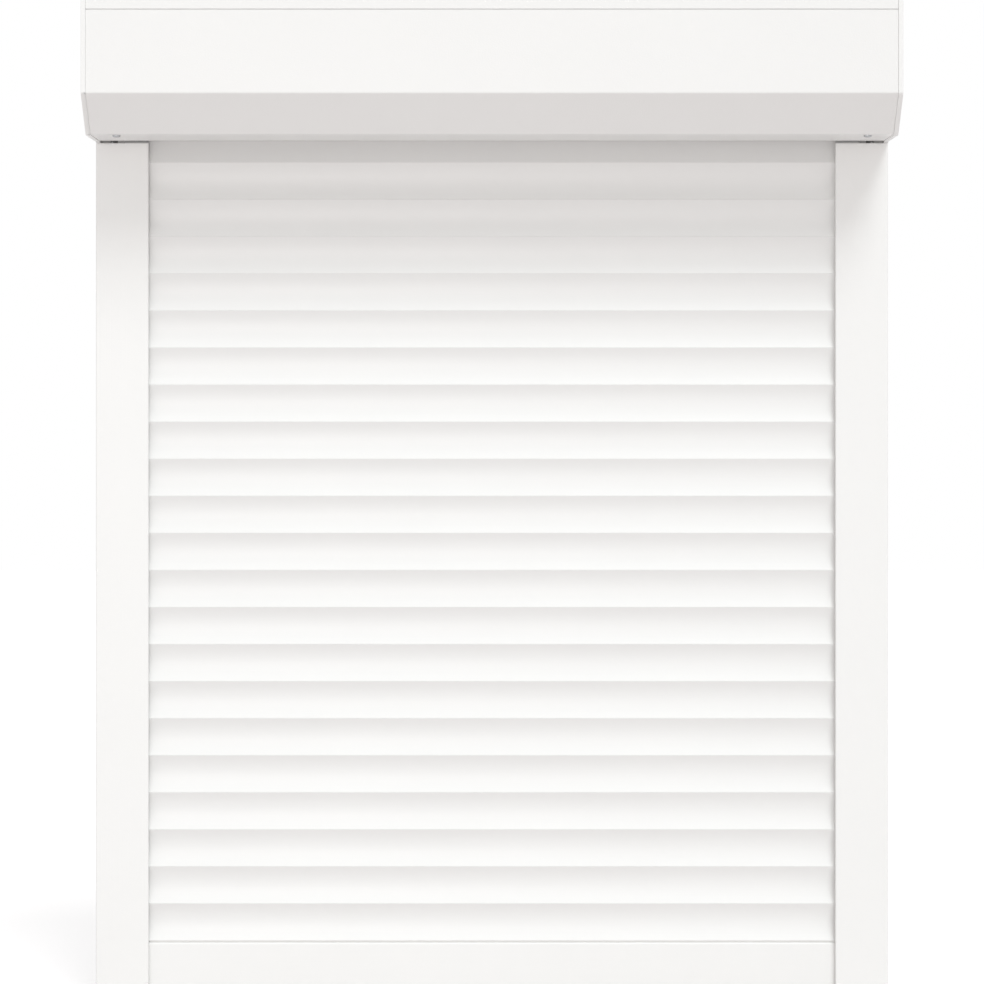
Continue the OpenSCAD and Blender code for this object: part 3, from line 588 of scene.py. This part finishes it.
class SHUTTER_OT_fasteners(bpy.types.Operator):
    """Make screws with a cross recess and blind rivets with a hollow head"""

    bl_idname = "shutter.fasteners"
    bl_label = "Screws and rivets"

    def execute(self, context):
        detail = context.scene.shutter_detail
        head_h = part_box("front_cover")[0].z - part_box("cover_screws")[0].z
        for node, shank in SHANKS.items():
            bm = bmesh.new()
            for low, high in solids(node):
                self.screw(bm, low, high, shank, head_h, detail)
            piece(node + "_recessed", bm, "zinc_steel", node)
        bm = bmesh.new()
        for low, high in solids("shell_rivets"):
            self.rivet(bm, low, high, detail)
        piece("shell_rivets_domed", bm, "rivet", "shell_rivets")
        return {"FINISHED"}

    def screw(self, joined, low, high, shank, head_h, detail):
        """A pan-head screw in the box of its CAD solid, shank along a direction"""
        size = high - low
        along = abs(size.dot(shank))
        shank_l = along - head_h
        shank_r = detail.shank_width / 2
        head_r = max(size - shank * size.dot(shank)) / 2
        seat = (low + high) / 2 - shank * (along / 2 - head_h)
        bm = bmesh.new()
        head = rounded(head_r * PAN_FLAT, head_r, head_h, head_h * PAN_SIDE)
        rim = first_ring(bm, *head[0], detail.round_steps)
        mouth = cross_ring(bm, detail.recess_width / 2, head_h)
        bmesh.ops.bridge_loops(bm, edges=rim + mouth)
        floor = ring_step(bm, mouth, RECESS_FLOOR, -detail.recess_depth)
        bmesh.ops.edgeloop_fill(bm, edges=floor)
        body = [(shank_r, 0.0), (shank_r, shank_r - shank_l), (shank_r * SHANK_TIP, -shank_l)]
        turned(bm, rim, head + [(head_r, 0.0)] + body)
        add_fastener(joined, bm, seat, -shank)

    def rivet(self, joined, low, high, detail):
        """A blind rivet with a domed head, hollow where its mandrel broke off"""
        middle = (low + high) / 2
        seat = Vector((middle.x, middle.y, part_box("rear_shell")[1].z))
        foot = low.z - seat.z
        head_r = (high.x - low.x) / 2
        head_h = high.z - seat.z
        hollow = head_r * RIVET_HOLLOW
        pit = hollow * RIVET_PIT
        neck = head_r * RIVET_NECK
        tail = neck * RIVET_TAIL
        bm = bmesh.new()
        head = rounded(head_r * RIVET_RIM, head_r, head_h, 0.0)
        rim = first_ring(bm, *head[0], detail.round_steps)
        turned(bm, rim, [head[0], (hollow, head_h * RIVET_LIP), (hollow, 0.0), (pit, -pit)])
        turned(bm, rim, head + [(neck, 0.0), (neck, foot + tail), (tail, foot)])
        add_fastener(joined, bm, seat, UP)


class SHUTTER_OT_guide_rails(bpy.types.Operator):
    """Coat the rails and colour their seals, funnels and foot plugs"""

    bl_idname = "shutter.guide_rails"
    bl_label = "Guide rails"

    def execute(self, context):
        for side in SIDES:
            coat("white_rail", "guide_rail_" + side)
            coat("seal_rubber", "rail_seal_%s_front" % side, "rail_seal_%s_rear" % side)
            coat("grey_plastic", "entry_funnel_" + side, "rail_foot_" + side)
        return {"FINISHED"}


class SHUTTER_OT_curtain(bpy.types.Operator):
    """Colour the slats, the bottom bar, its seal and its end plugs"""

    bl_idname = "shutter.curtain"
    bl_label = "Curtain"

    def execute(self, context):
        coat("white_slat", *SLATS)
        coat("white_bar", "bottom_bar")
        coat("seal_rubber", "bottom_seal")
        coat("grey_plastic", "bar_end_plugs")
        return {"FINISHED"}


class SHUTTER_OT_drive(bpy.types.Operator):
    """Colour the tube, its straps, the motor, the bearing and what holds them inside the box"""

    bl_idname = "shutter.drive"
    bl_label = "Tube and drive"

    def execute(self, context):
        coat("zinc_steel", "motor_bracket", "bearing_holder")
        coat("tube_steel", "winding_tube")
        coat("motor_steel", "motor_body", "motor_shaft", "idle_pin")
        coat("dark_plastic", "motor_head", "motor_crown", "drive_wheel", "idle_plug")
        coat("bearing_steel", "bearing_outer_ring", "bearing_inner_ring", "bearing_balls")
        coat("bearing_brass", "bearing_cage")
        coat("spring_steel", "suspension_straps")
        return {"FINISHED"}


# Studio: lamps stand in their directions from the shutter, and the floor's lift is for the camera alone

WHITE = (1.0, 1.0, 1.0, 1.0)
KEY_DIRECTION = Vector((0.42, -1.0, 1.4))
KEY_COLOUR = (0.935, 0.985, 1.0)
FILL_DIRECTION = Vector((-0.12, -1.0, 0.0))
FILL_SIZE = 0.8
FILL_COLOUR = (1.0, 0.95, 0.925)
LAMP_DISTANCE = 4.5
FLOOR_REACH = 8.0
FLOOR_GAP = 0.2 * MM
FLOOR_ROUGHNESS = 0.9
FLOOR_LIFT = 0.5
FLOOR_LIFT_COLOUR = (0.945, 0.99, 0.99)
SENSOR_WIDTH = 36.0
CAMERA_REACH = 100.0


def seen(tree):
    """1 for a ray from the camera, straight, by reflection or through something clear, and 0 for light"""
    rays = tree.nodes.new("ShaderNodeLightPath").outputs
    direct = math_node(tree, "MAXIMUM", rays["Is Camera Ray"], rays["Is Glossy Ray"])
    return math_node(tree, "MAXIMUM", direct, rays["Is Transmission Ray"])


def floor_material(colour):
    """A matt floor, lifted to white for the camera and clear from below"""
    material = bpy.data.materials.new("Studio floor")
    material.use_nodes = True
    tree = material.node_tree
    shader = tree.nodes["Principled BSDF"]
    shader.inputs["Base Color"].default_value = rgba(colour)
    shader.inputs["Roughness"].default_value = FLOOR_ROUGHNESS
    shader.inputs["Specular IOR Level"].default_value = 0.0
    shader.inputs["Emission Color"].default_value = rgba(FLOOR_LIFT_COLOUR)
    lift = math_node(tree, "MULTIPLY", seen(tree), FLOOR_LIFT)
    tree.links.new(lift, shader.inputs["Emission Strength"])
    below = tree.nodes.new("ShaderNodeNewGeometry").outputs["Backfacing"]
    clear = tree.nodes.new("ShaderNodeBsdfTransparent")
    either = tree.nodes.new("ShaderNodeMixShader")
    tree.links.new(below, either.inputs[0])
    tree.links.new(shader.outputs[0], either.inputs[1])
    tree.links.new(clear.outputs[0], either.inputs[2])
    tree.links.new(either.outputs[0], tree.nodes["Material Output"].inputs["Surface"])
    return material


class SHUTTER_OT_studio(bpy.types.Operator):
    """Set the camera, the lamps, the floor and the sky"""

    bl_idname = "shutter.studio"
    bl_label = "Studio"

    def execute(self, context):
        scene = context.scene
        studio = scene.shutter_studio
        scene.view_settings.view_transform = "Standard"
        scene.camera = self.camera(studio)
        self.key_lamp(studio)
        self.fill_lamp(studio)
        self.floor(studio)
        scene.world = self.sky(studio)
        return {"FINISHED"}

    def camera(self, studio):
        """A level camera in front of the shutter"""
        data = bpy.data.cameras.new("camera")
        data.lens = studio.lens
        data.sensor_width = SENSOR_WIDTH
        data.shift_y = studio.shift_y
        data.clip_end = CAMERA_REACH
        made = placed("camera", data)
        made.location = (0.0, CAD_BOX[0].y - studio.camera_distance, studio.camera_height)
        made.rotation_euler = (QUARTER_TURN, 0.0, 0.0)
        return made

    def aim(self, data, towards):
        """Places a lamp that looks at the middle of the shutter from a direction"""
        made = placed(data.name, data)
        made.location = (CAD_BOX[0] + CAD_BOX[1]) / 2 + towards.normalized() * LAMP_DISTANCE
        made.rotation_mode = "QUATERNION"
        made.rotation_quaternion = towards.to_track_quat("Z", "Y")

    def key_lamp(self, studio):
        """A far lamp whose light falls from the upper right"""
        data = bpy.data.lights.new("key_lamp", "SUN")
        data.energy = studio.key_strength
        data.angle = studio.key_angle
        data.color = KEY_COLOUR
        self.aim(data, KEY_DIRECTION)

    def fill_lamp(self, studio):
        """A round lamp in front"""
        data = bpy.data.lights.new("fill_lamp", "AREA")
        data.shape = "DISK"
        data.size = FILL_SIZE
        data.energy = studio.fill_power
        data.color = FILL_COLOUR
        self.aim(data, FILL_DIRECTION)

    def floor(self, studio):
        """A wide floor just under the shutter"""
        bm = bmesh.new()
        bmesh.ops.create_grid(bm, x_segments=1, y_segments=1, size=FLOOR_REACH)
        bmesh.ops.translate(bm, verts=bm.verts, vec=(0.0, 0.0, CAD_BOX[0].z - FLOOR_GAP))
        mesh = bpy.data.meshes.new("floor")
        bm.to_mesh(mesh)
        bm.free()
        mesh.materials.append(floor_material(studio.floor_colour))
        placed("floor", mesh)

    def sky(self, studio):
        """Even light from all round, white to the camera"""
        world = bpy.data.worlds.new("sky")
        world.use_nodes = True
        tree = world.node_tree
        background = tree.nodes["Background"]
        background.inputs["Color"].default_value = WHITE
        strength = math_node(tree, "MULTIPLY_ADD", seen(tree), 1.0 - studio.sky, studio.sky)
        tree.links.new(strength, background.inputs["Strength"])
        return world


OPERATORS = (
    SHUTTER_OT_finishes, SHUTTER_OT_head_box, SHUTTER_OT_fasteners, SHUTTER_OT_guide_rails,
    SHUTTER_OT_curtain, SHUTTER_OT_drive, SHUTTER_OT_studio,
)


class SHUTTER_PT_panel(bpy.types.Panel):
    """Lists the shutter's settings and steps"""

    bl_idname = "SHUTTER_PT_panel"
    bl_label = "Roller shutter"
    bl_space_type = "VIEW_3D"
    bl_region_type = "UI"
    bl_category = "Shutter"

    def draw(self, context):
        scene = context.scene
        for group in (scene.shutter_finish, scene.shutter_detail, scene.shutter_studio):
            box = self.layout.box()
            for key in group.__annotations__:
                box.prop(group, key)
        for operator in OPERATORS:
            self.layout.operator(operator.bl_idname)


CLASSES = (FinishSettings, DetailSettings, StudioSettings) + OPERATORS + (SHUTTER_PT_panel,)


def register():
    for cls in CLASSES:
        bpy.utils.register_class(cls)
    bpy.types.Scene.shutter_finish = PointerProperty(type=FinishSettings)
    bpy.types.Scene.shutter_detail = PointerProperty(type=DetailSettings)
    bpy.types.Scene.shutter_studio = PointerProperty(type=StudioSettings)


def unregister():
    del bpy.types.Scene.shutter_studio
    del bpy.types.Scene.shutter_detail
    del bpy.types.Scene.shutter_finish
    for cls in reversed(CLASSES):
        bpy.utils.unregister_class(cls)


def main():
    register()
    bpy.ops.shutter.finishes()
    bpy.ops.shutter.head_box()
    bpy.ops.shutter.fasteners()
    bpy.ops.shutter.guide_rails()
    bpy.ops.shutter.curtain()
    bpy.ops.shutter.drive()
    bpy.ops.shutter.studio()


if __name__ == "__main__":
    main()
